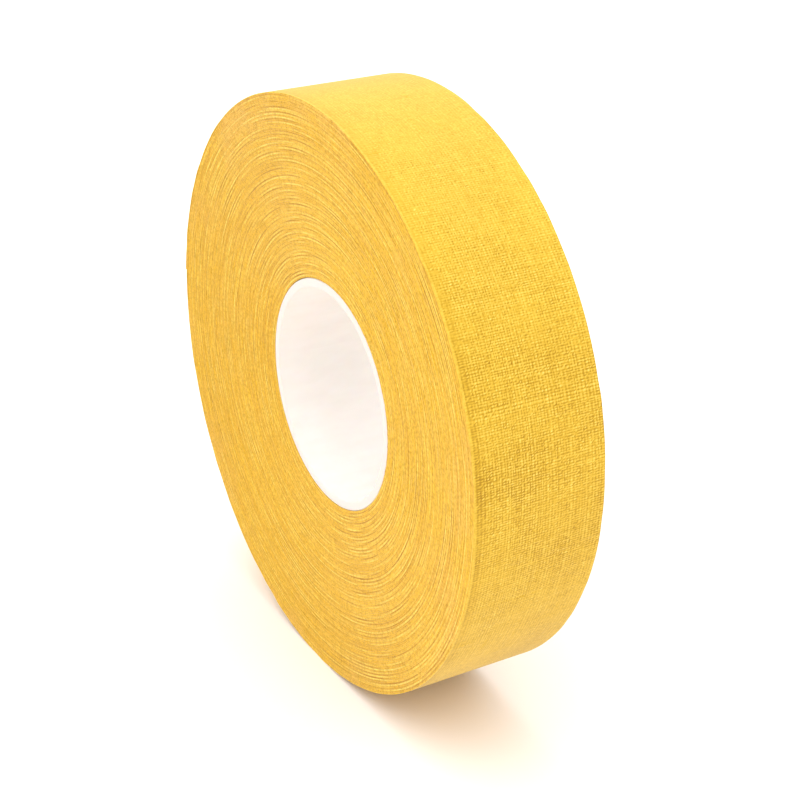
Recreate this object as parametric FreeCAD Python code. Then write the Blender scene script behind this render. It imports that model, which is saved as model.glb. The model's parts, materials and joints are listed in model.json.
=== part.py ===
"""A roll of woven cloth grip tape that stands on its edge.

One long strip of cloth, with adhesive on its inner side, is wound in a spiral on a thin tube. The turns
have slid a little along the tube's axis, each one a bit further than the turn outside it, so one side face
is a shallow dish and the other a shallow cone. The strip's free outer end is made of short hinged links,
so that it can be peeled off the roll.

Millimetres. The origin is the centre of the core's bore, +Y runs along the bore, away from the dished
side, and +Z is up. Angles are measured about the bore from +X towards +Z.
"""
import FreeCAD, Part
import math
import os

Vector = FreeCAD.Vector

# Strip
TAPE_WIDTH = 24.0
CLOTH_THICKNESS = 0.212
ADHESIVE_THICKNESS = 0.080
TURNS = 109

# Core tube
BORE_RADIUS = 19.0
CORE_WALL = 1.7
CORE_EDGE_ROUND = 0.3

# How far the outermost turn has slid along the axis from the innermost one
TELESCOPE = 3.2

# Free end: where it leaves the roll, and the links that it bends at
FREE_END_ANGLE = 128.0
LINK_ANGLE = 15.0
LINK_COUNT = 3
LINK_GAP = 0.10
LIFT_CLEARANCE = 0.10

# Worked out from the sizes above
TURN_PITCH = CLOTH_THICKNESS + ADHESIVE_THICKNESS
CORE_RADIUS = BORE_RADIUS + CORE_WALL
ROLL_RADIUS = CORE_RADIUS + TURNS * TURN_PITCH
RIM_FRONT = -TAPE_WIDTH / 2 - TELESCOPE

ORIGIN = Vector(0, 0, 0)
AXIS = Vector(0, 1, 0)


def polar(radius, degrees, y=0.0):
    """The point at this radius and angle about the bore."""
    angle = math.radians(degrees)
    return Vector(radius * math.cos(angle), y, radius * math.sin(angle))


def spiral_edges(first_radius):
    """Half-circle arcs about two centres in turn, so that the radius grows by one pitch each turn."""
    edges = []
    for half in range(2 * TURNS):
        lower = half % 2 == 1
        centre = Vector(TURN_PITCH / 2 if lower else 0.0, 0, 0)
        radius = first_radius + half * TURN_PITCH / 2
        start = 180.0 if lower else 0.0
        points = [centre + polar(radius, start + turn) for turn in (0, 90, 180)]
        edges.append(Part.Arc(*points).toShape())
    return edges


def end_points(edges):
    """The first and last points of a run of spiral edges."""
    return edges[0].valueAt(edges[0].FirstParameter), edges[-1].valueAt(edges[-1].LastParameter)


def telescoped_envelope():
    """A ring with the strip's width whose side faces are cones, leaning by the telescoping."""
    slope = TELESCOPE / (ROLL_RADIUS - CORE_RADIUS)
    section = []
    for radius, side in ((CORE_RADIUS - 1, -1), (ROLL_RADIUS + 1, -1), (ROLL_RADIUS + 1, 1), (CORE_RADIUS - 1, 1)):
        slide = slope * (radius - CORE_RADIUS)
        section.append(Vector(radius, side * TAPE_WIDTH / 2 - slide, 0))
    profile = Part.Face(Part.makePolygon(section + section[:1]))
    return profile.revolve(ORIGIN, AXIS, 360)


def wound_layer(first_radius, thickness):
    """One layer of the wound strip, from the core to the line where the free end leaves the roll."""
    inner = spiral_edges(first_radius)
    outer = spiral_edges(first_radius + thickness)
    inner_start, inner_end = end_points(inner)
    outer_start, outer_end = end_points(outer)
    cut_ends = [
        Part.LineSegment(inner_start, outer_start).toShape(),
        Part.LineSegment(inner_end, outer_end).toShape(),
    ]
    outline = Part.Wire(Part.__sortEdges__(inner + outer + cut_ends))
    depth = TAPE_WIDTH + TELESCOPE + 2
    layer = Part.Face(outline).extrude(Vector(0, depth, 0))
    layer.translate(Vector(0, RIM_FRONT - 1, 0))
    layer = layer.common(telescoped_envelope()).Solids[0]
    layer.rotate(ORIGIN, AXIS, -FREE_END_ANGLE)
    return layer


def core_tube():
    """The thin tube that the tape is wound on, with its end edges rounded."""
    base = Vector(0, -TAPE_WIDTH / 2, 0)
    tube = Part.makeCylinder(CORE_RADIUS, TAPE_WIDTH, base, AXIS)
    tube = tube.cut(Part.makeCylinder(BORE_RADIUS, TAPE_WIDTH, base, AXIS))
    rims = [edge for edge in tube.Edges if isinstance(edge.Curve, Part.Circle)]
    return tube.makeFillet(CORE_EDGE_ROUND, rims)


def link_layer(link, inner_radius, thickness):
    """One layer of one link of the free end: a short curved strip just clear of the roll."""
    half_gap = math.degrees(LINK_GAP / 2 / inner_radius)
    start = FREE_END_ANGLE + link * LINK_ANGLE + half_gap
    end = start + LINK_ANGLE - 2 * half_gap
    middle = (start + end) / 2
    outer_radius = inner_radius + thickness
    inner = [polar(inner_radius, angle, RIM_FRONT) for angle in (start, middle, end)]
    outer = [polar(outer_radius, angle, RIM_FRONT) for angle in (start, middle, end)]
    edges = [
        Part.Arc(*inner).toShape(),
        Part.LineSegment(inner[2], outer[2]).toShape(),
        Part.Arc(*outer).toShape(),
        Part.LineSegment(outer[0], inner[0]).toShape(),
    ]
    outline = Part.Wire(Part.__sortEdges__(edges))
    return Part.Face(outline).extrude(Vector(0, TAPE_WIDTH, 0))


def make_nodes():
    """Every sub-part by name."""
    nodes = {
        "core_tube": core_tube(),
        "wound_adhesive": wound_layer(CORE_RADIUS, ADHESIVE_THICKNESS),
        "wound_cloth": wound_layer(CORE_RADIUS + ADHESIVE_THICKNESS, CLOTH_THICKNESS),
    }
    adhesive_radius = ROLL_RADIUS + LIFT_CLEARANCE
    cloth_radius = adhesive_radius + ADHESIVE_THICKNESS
    for link in range(LINK_COUNT):
        nodes[f"free_end_adhesive_{link + 1}"] = link_layer(link, adhesive_radius, ADHESIVE_THICKNESS)
        nodes[f"free_end_cloth_{link + 1}"] = link_layer(link, cloth_radius, CLOTH_THICKNESS)
    return nodes


def hinge_lines():
    """Where each link's hinge crosses y = 0: on the cloth's outer surface, between two links."""
    radius = ROLL_RADIUS + LIFT_CLEARANCE + TURN_PITCH
    return [polar(radius, FREE_END_ANGLE + link * LINK_ANGLE) for link in range(LINK_COUNT)]


os.makedirs("parts", exist_ok=True)
for name, shape in make_nodes().items():
    shape.exportStep(f"parts/{name}.step")
    print(f"{name}: {shape.Volume:.1f} mm3, valid {shape.isValid()}")
print(f"roll radius {ROLL_RADIUS:.3f} mm")
print(f"strip length {math.pi * (ROLL_RADIUS ** 2 - CORE_RADIUS ** 2) / TURN_PITCH / 1000:.2f} m")
for number, point in enumerate(hinge_lines(), 1):
    print(f"hinge {number}: x {point.x:.3f}, z {point.z:.3f} mm")
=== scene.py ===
"""The looks of a roll of woven cloth grip tape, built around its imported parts.

Everything is in metres, in the frame of the parts: the origin is the centre of the bore, +Y runs along it,
and the roll stands on its edge. A place on the strip is counted in turns from the core. Angles are measured
about the bore from +X towards +Z.
"""
import json
import math

import bpy
import numpy as np
from mathutils import Matrix, Vector


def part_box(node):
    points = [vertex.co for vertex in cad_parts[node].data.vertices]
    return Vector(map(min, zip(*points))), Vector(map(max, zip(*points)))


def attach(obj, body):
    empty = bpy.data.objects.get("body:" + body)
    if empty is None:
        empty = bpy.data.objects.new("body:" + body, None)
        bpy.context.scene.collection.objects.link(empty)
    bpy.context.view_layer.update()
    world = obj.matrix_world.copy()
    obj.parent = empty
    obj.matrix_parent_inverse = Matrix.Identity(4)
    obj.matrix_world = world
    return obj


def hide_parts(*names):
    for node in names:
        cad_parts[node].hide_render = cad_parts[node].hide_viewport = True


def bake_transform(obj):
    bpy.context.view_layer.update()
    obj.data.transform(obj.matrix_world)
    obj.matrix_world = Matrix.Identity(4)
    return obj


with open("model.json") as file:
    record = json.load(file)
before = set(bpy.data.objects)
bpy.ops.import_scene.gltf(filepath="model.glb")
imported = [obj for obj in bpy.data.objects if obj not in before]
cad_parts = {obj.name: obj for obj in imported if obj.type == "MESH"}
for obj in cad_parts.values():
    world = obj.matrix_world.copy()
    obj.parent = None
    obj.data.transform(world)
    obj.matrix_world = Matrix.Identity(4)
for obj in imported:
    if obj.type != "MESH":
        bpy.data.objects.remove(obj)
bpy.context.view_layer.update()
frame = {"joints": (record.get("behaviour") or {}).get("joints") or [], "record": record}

MM = 0.001
SEED = 11

# The roll
TURNS = 109
CLOTH = 0.212 * MM
BORE_MOUNT = next(mount for mount in frame["record"]["mounts"] if mount["kind"] == "bore")
BORE_RADIUS = BORE_MOUNT["dims"]["r_mm"] * MM
CORE_LOW, CORE_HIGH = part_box("core_tube")
ROLL_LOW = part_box("wound_cloth")[0]
LINK_LOW, LINK_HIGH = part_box("free_end_cloth_1")
CORE_RADIUS = CORE_HIGH.x
ROLL_RADIUS = -ROLL_LOW.z
ROUND_ROLL = math.tau * ROLL_RADIUS
TURN_PITCH = (ROLL_RADIUS - CORE_RADIUS) / TURNS
ADHESIVE = TURN_PITCH - CLOTH
CLOTH_MIDDLE = ADHESIVE + CLOTH / 2
HALF_WIDTH = (LINK_HIGH.y - LINK_LOW.y) / 2
TELESCOPE = CORE_LOW.y - ROLL_LOW.y

# The core
RIM_ROUNDING = 0.30 * MM
RIM_STEPS = 5
CORE_STEPS = 288

# The wound turns, with the steps in each turn of their edges, cloth and adhesive
EDGE_STEPS = 200
CLOTH_STEPS = 180
FILM_STEPS = 96
EDGE_BULGE = 0.030 * MM
EDGE_FRAY = 0.018 * MM
# how light the cut edges are, from 0 to 1, and how far they stand out of an even cone to be 1 lighter:
# turns that stand out are painted lighter, partly as painted highlight where they catch the light and
# partly as less dirt
EDGE_TONE = 0.46
EDGE_TONE_RISE = 0.17 * MM
FILM_RECESS = 0.030 * MM
# the inner end is pressed thin over half a turn, so that the first whole turn lies on the core all the way
INNER_END = -0.48

# The free end, in links with a hinge before each
HINGES = [Vector(joint["pos_m"]) for joint in frame["joints"]]
HINGE_ANGLES = [math.atan2(point.z, point.x) for point in HINGES]
FREE_END_ANGLE = HINGE_ANGLES[0]
LINKS = len(HINGES)
LINK_TURN = (HINGE_ANGLES[1] - HINGE_ANGLES[0]) / math.tau
LIFT_CLEARANCE = HINGES[0].length - ROLL_RADIUS - TURN_PITCH
LIFT_LENGTH = 3 * MM
GLUE_RECESS = 0.12 * MM
GLUE_STEPS = 40
# how ragged the tip is cut, and the share of the last link's length that this reaches over
RAGGED = 0.10 * MM
RAGGED_SHARE = 0.05

# The outer turn, which stops a little short of the first hinge, where the free end's first piece takes over
OUTER_PIECES = 3
OUTER_END = TURNS - 0.03
OUTER_TONE = 0.6
SIDE_BULGE = 0.05 * MM

# The weave
WARP_THREADS = 44
WEFT_PITCH = 0.42 * MM
UNEVEN_WARP = 0.18
UNEVEN_WEFT = 0.10
# heights count from the deepest gap, and a height of 1 is this much
THREAD_RISE = 0.035 * MM
WARP_HEIGHT = 0.72
WEFT_HEIGHT = 0.95
CROSSING_PLAY = 0.17
# the height at the turn's outer radius, that of threads too close together to show, and the highest
LEVEL_HEIGHT = 0.6
CLOSED_HEIGHT = 0.62
TOP_HEIGHT = 1.25
# the height of the smooth under side, and the height that the material shows as a thread's full top: the
# material paints light on high threads and shade in the low gaps
UNDER_HEIGHT = 0.5
SHOWN_HEIGHT = 1.1
# how open the weave lies at these angles round the outer turn, in degrees
OPENNESS = (
    (-230, 0.80),
    (-70, 0.85),
    (-25, 0.85),
    (5, 1.20),
    (35, 0.75),
    (60, 0.52),
    (90, 0.42),
    (180, 0.70),
)


def ease(part):
    """A share from 0 to 1 that starts and stops gently."""
    return part * part * (3 - 2 * part)


def wander(places, spacing, amount, rng):
    """A smooth random wander along the places, with a new random value at each spacing."""
    steps = np.asarray(places, float) / spacing
    first = int(math.floor(steps.min()))
    values = rng.normal(0, amount, int(steps.max()) - first + 3)
    whole = np.floor(steps).astype(int)
    part = ease(steps - whole)
    whole -= first
    return values[whole] * (1 - part) + values[whole + 1] * part


def on_strip(turns, lift, side):
    """Points at these places in turns, this far out from the turn's inner side, and this far along Y."""
    turns, lift, side = np.broadcast_arrays(turns, lift, side)
    # the spiral is made of half circles, and every second one has its centre half a turn's thickness over
    halves = np.floor(2 * turns + 1e-9)
    centre = np.where(halves % 2 == 1, TURN_PITCH / 2, 0.0)
    radius = CORE_RADIUS + halves * TURN_PITCH / 2 + lift
    local = math.tau * turns
    x = centre + radius * np.cos(local)
    z = radius * np.sin(local)
    c, s = math.cos(FREE_END_ANGLE), math.sin(FREE_END_ANGLE)
    slide = -TELESCOPE * np.minimum(turns / TURNS, 1.0)
    return np.stack([x * c - z * s, side + slide, x * s + z * c], axis=-1)


def strip_length(first, last):
    """The strip's length between two places in turns."""
    middle = CORE_RADIUS + TURN_PITCH * (first + last) / 2 + TURN_PITCH / 2
    return math.tau * middle * (last - first)


def loft(name, rings, closed=False):
    """A mesh through an array of rings by points by 3, with flat ends unless it is closed."""
    count, size = rings.shape[:2]
    spans = count if closed else count - 1
    start = np.arange(spans)[:, None] * size
    after = (np.arange(spans)[:, None] + 1) % count * size
    here = np.arange(size)[None, :]
    there = (here + 1) % size
    quads = np.stack([start + here, start + there, after + there, after + here], axis=-1).reshape(-1, 4)
    faces = quads.tolist()
    if not closed:
        faces.append(list(range(size))[::-1])
        faces.append(list(range((count - 1) * size, count * size)))
    mesh = bpy.data.meshes.new(name)
    mesh.from_pydata(rings.reshape(-1, 3).tolist(), [], faces)
    piece = bpy.data.objects.new(name, mesh)
    bpy.context.scene.collection.objects.link(piece)
    return piece


def paint(piece, attribute, values):
    """Keeps one number for each point of a piece, for its material to read."""
    layer = piece.data.attributes.new(attribute, "FLOAT", "POINT")
    layer.data.foreach_set("value", np.asarray(values, np.float32).ravel())


def paint_strip(piece, turns, points):
    """Keeps each point's place on the flat strip, so that a texture stays with the cloth as it bends."""
    along = np.broadcast_to(strip_length(0, turns)[:, None], points.shape[:2])
    radius = np.hypot(points[..., 0], points[..., 2])
    places = np.stack([along, radius, points[..., 1]], axis=-1)
    layer = piece.data.attributes.new("strip", "FLOAT_VECTOR", "POINT")
    layer.data.foreach_set("vector", places.astype(np.float32).ravel())


def smooth(piece, angle):
    """Smooth shading, with edges sharper than this many degrees kept sharp."""
    piece.data.polygons.foreach_set("use_smooth", [True] * len(piece.data.polygons))
    piece.data.set_sharp_from_angle(angle=math.radians(angle))


# ---------------------------------------------------------------- materials


def grey(level):
    """A colour with the same level of red, green and blue."""
    return (level, level, level)


class Shader:
    """A material with one Principled shader, and short ways to add nodes to it."""

    def __init__(self, name, roughness, **sockets):
        self.material = bpy.data.materials.new(name)
        self.material.use_nodes = True
        self.tree = self.material.node_tree
        self.shader = self.tree.nodes["Principled BSDF"]
        self.shader.inputs["Roughness"].default_value = roughness
        for socket, value in sockets.items():
            self.shader.inputs[socket.replace("_", " ")].default_value = value

    def node(self, kind, **settings):
        made = self.tree.nodes.new(kind)
        for key, value in settings.items():
            setattr(made, key, value)
        return made

    def link(self, source, target):
        self.tree.links.new(source, target)

    def math(self, operation, first, second=0.0):
        made = self.node("ShaderNodeMath", operation=operation)
        for socket, value in zip(made.inputs, (first, second)):
            if isinstance(value, (int, float)):
                socket.default_value = value
            else:
                self.link(value, socket)
        return made.outputs[0]

    def place(self):
        return self.node("ShaderNodeTexCoord").outputs["Object"]

    def strip(self):
        """Place on the flat strip as (length, distance from the bore's axis, y)."""
        return self.node("ShaderNodeAttribute", attribute_name="strip").outputs["Vector"]

    def around(self):
        """Place as (length round the bore, distance from its axis, y), to follow a tube."""
        split = self.node("ShaderNodeSeparateXYZ")
        self.link(self.place(), split.inputs[0])
        x, y, z = split.outputs
        squares = self.math("ADD", self.math("MULTIPLY", x, x), self.math("MULTIPLY", z, z))
        radius = self.math("SQRT", squares)
        angle = self.math("ARCTAN2", z, x)
        joined = self.node("ShaderNodeCombineXYZ")
        self.link(self.math("MULTIPLY", angle, ROLL_RADIUS), joined.inputs[0])
        self.link(radius, joined.inputs[1])
        self.link(y, joined.inputs[2])
        return joined.outputs[0]

    def scaled(self, vector, scale):
        made = self.node("ShaderNodeVectorMath", operation="MULTIPLY")
        self.link(vector, made.inputs[0])
        made.inputs[1].default_value = scale
        return made.outputs[0]

    def noise(self, vector, *scale, detail):
        """Noise from about 0 to 1, with one scale or one for each direction, in waves to a metre."""
        made = self.node("ShaderNodeTexNoise")
        made.inputs["Scale"].default_value = 1.0
        made.inputs["Detail"].default_value = detail
        self.link(self.scaled(vector, scale if len(scale) == 3 else scale * 3), made.inputs["Vector"])
        return made.outputs["Fac"]

    def ramp(self, value, *stops):
        made = self.node("ShaderNodeValToRGB")
        elements = made.color_ramp.elements
        while len(elements) < len(stops):
            elements.new(0.5)
        for element, (position, colour) in zip(elements, stops):
            element.position = position
            element.color = (*colour, 1.0)
        self.link(value, made.inputs[0])
        return made.outputs[0]

    def mix(self, share, first, second, blend="MIX"):
        made = self.node("ShaderNodeMix", data_type="RGBA", blend_type=blend)
        for socket, value in ((made.inputs[0], share), (made.inputs[6], first), (made.inputs[7], second)):
            if isinstance(value, (int, float)):
                socket.default_value = value
            elif isinstance(value, tuple):
                socket.default_value = (*value, 1.0)
            else:
                self.link(value, socket)
        return made.outputs[2]

    def attribute(self, name):
        return self.node("ShaderNodeAttribute", attribute_name=name).outputs["Fac"]

    def colour(self, value):
        self.link(value, self.shader.inputs["Base Color"])

    def roughness(self, value):
        self.link(value, self.shader.inputs["Roughness"])

    def shaded(self, colour, value, low, shade, high):
        """Sets the colour, darkened by the shade where the value is low and as it is where it is high."""
        darkening = self.ramp(value, (low, shade), (high, grey(1.0)))
        self.colour(self.mix(1.0, colour, darkening, blend="MULTIPLY"))

    def bump(self, height, distance, strength):
        made = self.node("ShaderNodeBump")
        made.inputs["Strength"].default_value = strength
        made.inputs["Distance"].default_value = distance
        self.link(height, made.inputs["Height"])
        self.link(made.outputs[0], self.shader.inputs["Normal"])


def woven_cloth():
    """Bright yellow cotton, with painted shade between the threads and painted light on their tops, fibrous
    on a small scale and a little blotchy.
    """
    s = Shader("woven_cloth", 0.80, Sheen_Weight=0.28, Sheen_Roughness=0.5, Specular_IOR_Level=0.12,
               Sheen_Tint=(1.0, 0.97, 0.74, 1.0))
    strip = s.strip()
    # the thread heights give painted shade in the gaps between threads and painted light on their tops
    weave = s.ramp(
        s.attribute("weave"),
        (0.0, (0.31, 0.154, 0.004)),
        (0.35, (0.626, 0.385, 0.027)),
        (0.7, (0.784, 0.544, 0.086)),
        (1.0, (0.885, 0.692, 0.200)),
    )
    blotches = s.ramp(s.noise(strip, 90, detail=3), (0.35, grey(0.0)), (0.7, grey(0.25)))
    colour = s.mix(blotches, weave, (0.87, 0.575, 0.062))
    fibres_along = s.noise(strip, 1300, 1300, 5200, detail=2)
    fibres_across = s.noise(strip, 5600, 1300, 1300, detail=2)
    fibres = s.math("ADD", fibres_along, fibres_across)
    s.shaded(colour, s.math("MULTIPLY", fibres, 0.5), 0.36, (0.82, 0.77, 0.52), 0.60)
    s.bump(fibres, 0.020 * MM, 0.7)
    return s.material


def cut_edges():
    """The strip's cut side edges: fuzzy, different from turn to turn, painted lighter on turns that stand
    out, with duller patches near the rim.
    """
    s = Shader("cut_edges", 0.9, Sheen_Weight=0.1, Sheen_Roughness=0.6, Specular_IOR_Level=0.2)
    rings = s.ramp(
        s.attribute("tone"),
        (0.0, (0.50, 0.243, 0.005)),
        (0.5, (0.796, 0.478, 0.025)),
        (1.0, (0.888, 0.678, 0.120)),
    )
    split = s.node("ShaderNodeSeparateXYZ")
    s.link(s.strip(), split.inputs[0])
    radius = split.outputs[1]
    near_rim = s.ramp(s.math("DIVIDE", radius, ROLL_RADIUS), (0.80, grey(0.10)), (0.97, grey(0.50)))
    patches = s.ramp(s.noise(s.place(), 60, detail=3), (0.48, grey(0.0)), (0.62, grey(1.0)))
    colour = s.mix(s.math("MULTIPLY", patches, near_rim), rings, (0.81, 0.485, 0.112))
    fuzz = s.noise(s.place(), 2000, detail=4)
    s.shaded(colour, fuzz, 0.36, (0.74, 0.68, 0.40), 0.60)
    s.bump(fuzz, 0.030 * MM, 0.8)
    return s.material


def sticky_adhesive():
    """A tan rubber film with the weave pressed into it."""
    s = Shader("sticky_adhesive", 0.42, Specular_IOR_Level=0.4)
    strip = s.strip()
    clouds = s.noise(strip, 220, detail=4)
    film = s.ramp(clouds, (0.3, (0.68, 0.395, 0.040)), (0.7, (0.81, 0.510, 0.082)))
    s.roughness(s.ramp(clouds, (0.3, grey(0.36)), (0.7, grey(0.55))))
    imprint = s.node("ShaderNodeTexVoronoi")
    imprint.inputs["Scale"].default_value = 1.0
    s.link(s.scaled(strip, (1 / WEFT_PITCH, 1, WARP_THREADS / HALF_WIDTH / 2)), imprint.inputs["Vector"])
    pressed = imprint.outputs["Distance"]
    s.shaded(film, pressed, 0.1, (0.84, 0.80, 0.66), 0.6)
    s.bump(pressed, 0.050 * MM, 0.8)
    return s.material


def core_plastic():
    """White, slightly waxy plastic with a fine drawn grain."""
    s = Shader("core_plastic", 0.42, Subsurface_Weight=0.25, Subsurface_Scale=0.8 * MM)
    around = s.around()
    clouds = s.noise(around, 160, detail=3)
    wall = s.ramp(clouds, (0.3, (0.805, 0.765, 0.730)), (0.7, (0.835, 0.800, 0.770)))
    s.colour(s.mix(s.attribute("rim"), wall, (0.70, 0.675, 0.640)))
    s.roughness(s.ramp(clouds, (0.3, grey(0.38)), (0.7, grey(0.52))))
    s.bump(s.noise(around, 3200, 3200, 260, detail=3), 0.015 * MM, 0.5)
    return s.material


def studio_floor():
    """White paper with a warm tint as painted bounce light: the tint shows only in the roll's shadow, where
    it stands in for the yellow light that the roll throws there.
    """
    s = Shader("studio_floor", 0.9)
    mottle = s.noise(s.place(), 12, detail=1)
    s.colour(s.ramp(mottle, (0.0, (0.92, 0.860, 0.815)), (1.0, (0.94, 0.880, 0.835))))
    return s.material


CLOTH_MATERIAL = woven_cloth()
EDGE_MATERIAL = cut_edges()
ADHESIVE_MATERIAL = sticky_adhesive()
CORE_MATERIAL = core_plastic()


def dress(piece, slot, *materials):
    """Gives a piece its materials."""
    for material in materials:
        piece.data.materials.append(material)


def dress_cloth(piece, size, edges):
    """Cloth on a strip, with cut edges on its two ends and on the listed ones of its section's sides."""
    dress(piece, "cloth", CLOTH_MATERIAL, EDGE_MATERIAL)
    polygons = piece.data.polygons
    ends = 2
    spans = (len(polygons) - ends) // size
    index = np.zeros(len(polygons), np.int32)
    for side in edges:
        index[np.arange(spans) * size + side] = 1
    index[-ends:] = 1
    polygons.foreach_set("material_index", index)


# ---------------------------------------------------------------- the wound turns


def arcs(turns, depth, columns, amount, rng):
    """A random field over the side face, in patches this many turns deep, with this many round a turn."""
    values = rng.normal(0, amount, (int(turns.max() / depth) + 3, columns))
    row, column = turns / depth, (turns % 1.0) * columns
    top, left = row.astype(int), column.astype(int)
    down, right = ease(row - top), ease(column - left)
    left, after = left % columns, (left + 1) % columns
    upper = values[top, left] * (1 - right) + values[top, after] * right
    lower = values[top + 1, left] * (1 - right) + values[top + 1, after] * right
    return upper * (1 - down) + lower * down


def apart(values):
    """Values less the mean of those one turn in and out, so that turns differ from their neighbours."""
    padded = np.pad(values, EDGE_STEPS, mode="edge")
    return values - (padded[:-2 * EDGE_STEPS] + padded[2 * EDGE_STEPS:]) / 2


class EdgePlay:
    """How far the strip's edges stand out of an even cone along the strip, and how light they are, with
    painted highlight on turns that stand out.
    """

    def __init__(self, rng):
        turns = np.linspace(0, TURNS + 1, (TURNS + 1) * EDGE_STEPS + 1)
        groups = arcs(turns, 2.6, 9, 0.006 * MM, rng) + arcs(turns, 1.3, 24, 0.006 * MM, rng)
        proud = groups + apart(wander(turns, 0.032, 0.007 * MM, rng))
        single = apart(wander(turns, 0.035, 0.17, rng))
        # a turn that is lighter than its neighbours stands out more than a darker one
        single *= np.where(single > 0, 1.5, 0.7)
        patches = arcs(turns, 1.3, 24, 0.09, rng)
        self.turns = turns
        self.proud = proud
        # turns that stand out get painted highlight, partly standing for light caught on their edges and
        # partly for less dirt
        self.tone = np.clip(EDGE_TONE + proud / EDGE_TONE_RISE + single + patches, 0, 1)

    def proud_at(self, turns):
        return np.interp(turns, self.turns, self.proud)

    def tone_at(self, turns):
        return np.interp(turns, self.turns, self.tone)


def outside_core(points):
    """Moves points that would lie inside the core out to its surface."""
    radius = np.hypot(points[..., 0], points[..., 2])
    out = np.maximum(CORE_RADIUS / radius, 1.0)
    return points * np.stack([out, np.ones_like(out), out], axis=-1)


def wound_turns(name, first, last, play, rng):
    """A stretch of the wound cloth with its two cut edges rounded by their fibres."""
    turns = np.linspace(first, last, int((last - first) * CLOTH_STEPS) + 1)
    proud = play.proud_at(turns)
    section = (
        (ADHESIVE, -1, 0.0),
        (CLOTH_MIDDLE, -1, EDGE_BULGE),
        (TURN_PITCH, -1, 0.0),
        (TURN_PITCH, 1, 0.0),
        (CLOTH_MIDDLE, 1, EDGE_BULGE),
        (ADHESIVE, 1, 0.0),
    )
    rings = np.empty((len(turns), len(section), 3))
    for place, (lift, side, bulge) in enumerate(section):
        fray = rng.normal(0, EDGE_FRAY, len(turns))
        rings[:, place] = on_strip(turns, lift, side * (HALF_WIDTH + bulge) + proud + fray)
    rings = outside_core(rings)
    piece = loft(name, rings)
    paint_strip(piece, turns, rings)
    paint(piece, "tone", np.repeat(play.tone_at(turns), len(section)))
    paint(piece, "weave", np.full(len(turns) * len(section), UNDER_HEIGHT))
    cut_sides = (0, 1, 3, 4)
    dress_cloth(piece, len(section), cut_sides)
    smooth(piece, 50)
    return piece


def adhesive_strip(name, turns, lift, recess, proud=0.0):
    """Adhesive under the strip at these places in turns, a little short of the cloth's edges."""
    side = HALF_WIDTH - recess
    section = ((0.0, -side), (ADHESIVE, -side), (ADHESIVE, side), (0.0, side))
    rings = np.stack([on_strip(turns, lift + rise, along + proud) for rise, along in section], axis=1)
    piece = loft(name, rings)
    paint_strip(piece, turns, rings)
    dress(piece, "adhesive", ADHESIVE_MATERIAL)
    smooth(piece, 50)
    return piece


# ---------------------------------------------------------------- woven cloth that shows


def uneven_lines(count, uneven, rng):
    """Places from 0 to 1 of the middles of this many uneven threads and of the gaps beside them."""
    narrowest, widest = 0.45, 1.8
    widths = np.clip(rng.normal(1, uneven, count), narrowest, widest)
    gaps = np.concatenate([[0], np.cumsum(widths)])
    lines = np.empty(2 * count + 1)
    lines[0::2] = gaps
    lines[1::2] = (gaps[1:] + gaps[:-1]) / 2
    return lines / gaps[-1]


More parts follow.
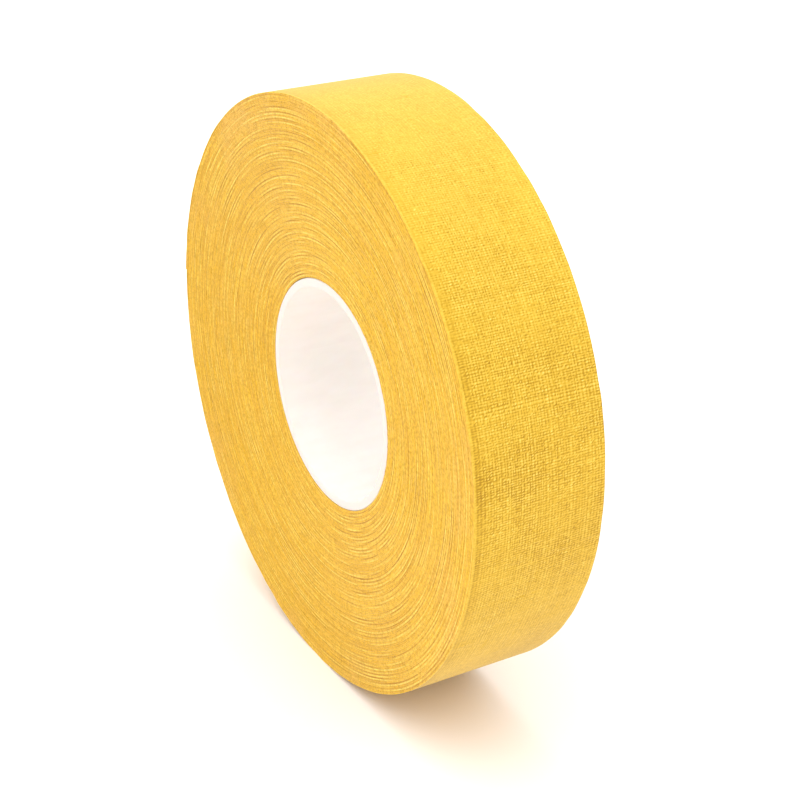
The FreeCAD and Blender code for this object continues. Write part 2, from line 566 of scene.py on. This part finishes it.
class Weave:
    """The threads of the whole outer stretch, so that pieces cut from it match where they meet.

    It is a grid of points: the odd columns are warp threads, the odd rows are weft threads, and the others
    are the gaps between them.
    """

    def __init__(self, first, last, rng):
        length = (last - first) * ROUND_ROLL
        along = length * uneven_lines(int(length / WEFT_PITCH), UNEVEN_WEFT, rng)
        across = HALF_WIDTH * (2 * uneven_lines(WARP_THREADS, UNEVEN_WARP, rng) - 1)
        self.turns = first + along / ROUND_ROLL
        shape = (len(along), len(across))
        warp, weft, shift, skew = (np.empty(shape) for _ in range(4))
        for column in range(shape[1]):
            thickness = WARP_HEIGHT + rng.normal(0, 0.06)
            slow, quick = wander(along, 5 * MM, 0.05, rng), wander(along, 1 * MM, 0.08, rng)
            warp[:, column] = thickness + slow + quick
            shift[:, column] = wander(along, 5 * MM, 0.060 * MM, rng)
        for row in range(shape[0]):
            weft[row] = WEFT_HEIGHT + rng.normal(0, 0.06) + wander(across, 2 * MM, 0.10, rng)
            skew[row] = wander(across, 5 * MM, 0.045 * MM, rng)
        on_warp = np.arange(shape[1])[None, :] % 2
        on_weft = np.arange(shape[0])[:, None] % 2
        height = 0.5 * warp * on_warp + 0.5 * weft * on_weft + self.crossings(shape, rng)
        self.edge_threads(height)
        opened = (height - CLOSED_HEIGHT) * self.openness(self.turns, along, across, rng)
        self.height = np.clip(CLOSED_HEIGHT + opened, 0, TOP_HEIGHT)
        for edge in (0, -1):
            shift[:, edge] = wander(along, 3 * MM, 0.030 * MM, rng)
        self.side = across[None, :] + shift
        self.places = self.turns[:, None] + skew / ROUND_ROLL

    @staticmethod
    def crossings(shape, rng):
        """Random heights of the points, each less the mean of its neighbours, so that no patches form."""
        values = rng.normal(0, CROSSING_PLAY, (shape[0] + 2, shape[1] + 2))
        beside = values[:-2, 1:-1] + values[2:, 1:-1] + values[1:-1, :-2] + values[1:-1, 2:]
        return values[1:-1, 1:-1] - beside / 4

    @staticmethod
    def openness(turns, along, across, rng):
        """How open the threads lie: in some places they are close together and hardly show."""
        angles = np.degrees(FREE_END_ANGLE + math.tau * (turns - TURNS))
        general = np.interp(angles, *zip(*OPENNESS))[:, None]
        bands = 9
        band_play = np.stack([wander(along, 4 * MM, 0.14, rng) for _ in range(bands)], axis=1)
        band = np.linspace(0, bands - 1, len(across))
        left = np.minimum(band.astype(int), bands - 2)
        part = band - left
        return general * (1 + band_play[:, left] * (1 - part) + band_play[:, left + 1] * part)

    @staticmethod
    def edge_threads(height):
        """The front edge thread stands a little proud, with slacker, deeper threads next to it. Through the
        weave's painted shade the edge thread also shows as a light line, and the threads next to it as a
        darker band.
        """
        edge, next_to_it, first_even = 0, 1, 8
        height[:, edge] = 0.55 + 0.25 * height[:, edge]
        height[:, next_to_it] = 0.38 + 0.35 * height[:, next_to_it]
        for column in range(next_to_it + 1, first_even):
            height[:, column] *= 0.55 + 0.05 * column

    def row_at(self, turns):
        """The first row at or past this place in turns."""
        return int(np.searchsorted(self.turns, turns - 1e-9))


def woven_piece(name, weave, first, last, lift_of, rng=None):
    """A piece of the weave between two places: threads on top, smooth below, cut edges at its sides.

    Its last end is cut ragged when there is a random generator to do it with.
    """
    rows = slice(weave.row_at(first), weave.row_at(last) + 1)
    turns, places = weave.turns[rows], weave.places[rows]
    height, side = weave.height[rows], weave.side[rows]
    columns = height.shape[1]
    if rng is not None:
        to_tip = (turns[-1] - turns) / (turns[-1] - turns[0])
        share = np.clip(1 - to_tip / RAGGED_SHARE, 0, 1)
        places = places + share[:, None] * rng.normal(0, RAGGED / ROUND_ROLL, columns)[None, :]
    lift = lift_of(turns)
    top = on_strip(places, lift[:, None] + TURN_PITCH + THREAD_RISE * (height - LEVEL_HEIGHT), side)
    back, front = side[:, -1], side[:, 0]
    under = [
        on_strip(turns, lift + CLOTH_MIDDLE, back + SIDE_BULGE),
        on_strip(turns, lift + ADHESIVE, back),
        on_strip(turns, lift + ADHESIVE, front),
        on_strip(turns, lift + CLOTH_MIDDLE, front - SIDE_BULGE),
    ]
    rings = np.concatenate([top, np.stack(under, axis=1)], axis=1)
    size = rings.shape[1]
    piece = loft(name, rings)
    paint_strip(piece, turns, rings)
    shown = np.concatenate([height, np.full((len(turns), len(under)), UNDER_HEIGHT)], axis=1)
    paint(piece, "weave", shown / SHOWN_HEIGHT)
    paint(piece, "tone", np.full(rings.shape[:2], OUTER_TONE))
    cut_sides = (columns - 1, columns, size - 2, size - 1)
    dress_cloth(piece, size, cut_sides)
    smooth(piece, 60)
    return piece


# ---------------------------------------------------------------- the core


def core_tube(name):
    """The thin tube with rounded rims."""
    half = CORE_HIGH.y
    quarter = [math.radians(90 * step / RIM_STEPS) for step in range(RIM_STEPS + 1)]
    outline = []
    corners = ((BORE_RADIUS, 1, -1), (CORE_RADIUS, -1, -1), (CORE_RADIUS, -1, 1), (BORE_RADIUS, 1, 1))
    for radius, out, side in corners:
        for angle in quarter if out * side > 0 else reversed(quarter):
            inward = RIM_ROUNDING * (1 - math.sin(angle))
            along = RIM_ROUNDING * (1 - math.cos(angle))
            outline.append((radius + out * inward, side * (half - along)))
    outline = np.array(outline)
    angles = np.linspace(0, math.tau, CORE_STEPS, endpoint=False)[:, None]
    radius, along = np.broadcast_arrays(outline[:, 0], outline[:, 1] + 0 * angles)
    rings = np.stack([radius * np.cos(angles), along, radius * np.sin(angles)], axis=-1)
    piece = loft(name, rings, closed=True)
    at_rim = np.clip((np.abs(outline[:, 1]) - half) / RIM_ROUNDING + 1, 0, 1)
    paint(piece, "rim", np.tile(at_rim, CORE_STEPS))
    dress(piece, "core_plastic", CORE_MATERIAL)
    smooth(piece, 40)
    return piece


# ---------------------------------------------------------------- the object


def make_roll():
    rng = np.random.default_rng(SEED)
    play = EdgePlay(rng)

    core = core_tube("core_tube_white")
    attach(core, "roll")
    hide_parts("core_tube")

    middle_turn = TURNS // 2
    stretches = (("inner_turns", INNER_END, middle_turn), ("outer_turns", middle_turn, TURNS - 1))
    for name, first, last in stretches:
        turns = wound_turns(f"wound_cloth_{name}", first, last, play, rng)
        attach(turns, "roll")
        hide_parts("wound_cloth")

    film_turns = np.linspace(0, TURNS, TURNS * FILM_STEPS + 1)
    glue = adhesive_strip("wound_adhesive_film", film_turns, 0.0, FILM_RECESS, play.proud_at(film_turns))
    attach(glue, "roll")
    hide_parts("wound_adhesive")


def flat_lift(turns):
    """The outer turn lies on the turn below all the way."""
    return np.zeros_like(turns)


def free_lift(turns):
    """The free end lies just clear of the turn below, and rises to that over its first few millimetres."""
    rise = np.clip((turns - TURNS) * ROUND_ROLL / LIFT_LENGTH, 0, 1)
    return LIFT_CLEARANCE * ease(rise)


def make_outer_turn(weave):
    cuts = np.linspace(TURNS - 1, OUTER_END, OUTER_PIECES + 1)
    for number, (first, last) in enumerate(zip(cuts[:-1], cuts[1:])):
        piece = woven_piece(f"outer_turn_cloth_{number + 1}", weave, first, last, flat_lift)
        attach(piece, "roll")
        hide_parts("wound_cloth")


def make_free_end(weave, tip, rng):
    """Pieces that reach from the middle of one link to that of the next, across the hinge between."""
    ends = [TURNS + (number + 0.5) * LINK_TURN for number in range(LINKS - 1)] + [tip]
    first = OUTER_END
    for number, last in enumerate(ends):
        cutter = rng if last == tip else None
        cloth = woven_piece(f"free_end_weave_{number + 1}", weave, first, last, free_lift, cutter)
        glue_turns = np.linspace(max(first, TURNS), last, GLUE_STEPS + 1)
        glue = adhesive_strip(f"free_end_glue_{number + 1}", glue_turns, free_lift(glue_turns), GLUE_RECESS)
        for piece, node in ((cloth, "cloth"), (glue, "adhesive")):
            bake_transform(piece)
            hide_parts(f"free_end_{node}_{number + 1}")
        first = last


def make_shown_cloth():
    rng = np.random.default_rng(SEED + 1)
    tip = TURNS + LINKS * LINK_TURN
    weave = Weave(TURNS - 1, tip, rng)
    make_outer_turn(weave)
    make_free_end(weave, tip, rng)


# ---------------------------------------------------------------- studio and camera

# the camera's direction in degrees, its distance, its lens, and how far it is moved to its right and up
VIEW_AZIMUTH = 59.90
VIEW_ELEVATION = 25.42
VIEW_DISTANCE = 6 * ROLL_RADIUS
VIEW_LENS = 80.7
VIEW_SENSOR = 36
VIEW_RIGHT = 4.83 * MM
VIEW_UP = -2.71 * MM
# each light's name, azimuth, elevation, strength and spread, with the angles in degrees
SUNS = (
    ("overhead", 100, 76, 2.12, 90),
    ("left", 300, 50, 1.10, 90),
    ("front", 60, 20, 0.20, 60),
)
ROOM_COLOUR = (1.0, 0.995, 0.985, 1.0)
ROOM_STRENGTH = 0.80
FLOOR_REACH = 3.0
FLOOR_GAP = 0.02 * MM


def direction(azimuth, elevation):
    """Unit vector from the object towards a viewer at this azimuth and elevation in degrees."""
    a, e = math.radians(azimuth), math.radians(elevation)
    return Vector((math.sin(a) * math.cos(e), -math.cos(a) * math.cos(e), math.sin(e)))


def make_camera():
    back = direction(VIEW_AZIMUTH, VIEW_ELEVATION)
    a = math.radians(VIEW_AZIMUTH)
    right = Vector((math.cos(a), math.sin(a), 0))
    up = back.cross(right)
    data = bpy.data.cameras.new("camera")
    data.lens = VIEW_LENS
    data.sensor_width = VIEW_SENSOR
    data.clip_start = 10 * MM
    camera = bpy.data.objects.new("camera", data)
    middle = Vector((0, -TELESCOPE, 0))
    place = middle + back * VIEW_DISTANCE + right * VIEW_RIGHT + up * VIEW_UP
    camera.matrix_world = Matrix.Translation(place) @ Matrix((right, up, back)).transposed().to_4x4()
    bpy.context.scene.collection.objects.link(camera)
    bpy.context.scene.camera = camera


def soft_sun(name, azimuth, elevation, strength, spread):
    """An even light from one side, as soft as a light that spans this many degrees."""
    data = bpy.data.lights.new(name, "SUN")
    data.energy = strength
    data.angle = math.radians(spread)
    light = bpy.data.objects.new(name, data)
    light.rotation_euler = direction(azimuth, elevation).to_track_quat("Z", "Y").to_euler()
    bpy.context.scene.collection.objects.link(light)


def make_floor():
    low = ROLL_LOW.z - FLOOR_GAP
    corners = [(x * FLOOR_REACH, y * FLOOR_REACH, low) for x, y in ((-1, -1), (1, -1), (1, 1), (-1, 1))]
    mesh = bpy.data.meshes.new("floor")
    mesh.from_pydata(corners, [], [(0, 1, 2, 3)])
    floor = bpy.data.objects.new("floor", mesh)
    floor.data.materials.append(studio_floor())
    bpy.context.scene.collection.objects.link(floor)


def make_studio():
    make_floor()
    world = bpy.data.worlds.new("studio")
    world.use_nodes = True
    background = world.node_tree.nodes["Background"]
    background.inputs["Color"].default_value = ROOM_COLOUR
    background.inputs["Strength"].default_value = ROOM_STRENGTH
    bpy.context.scene.world = world
    for sun in SUNS:
        soft_sun(*sun)
    bpy.context.scene.view_settings.view_transform = "Standard"


make_camera()
make_studio()
make_roll()
make_shown_cloth()
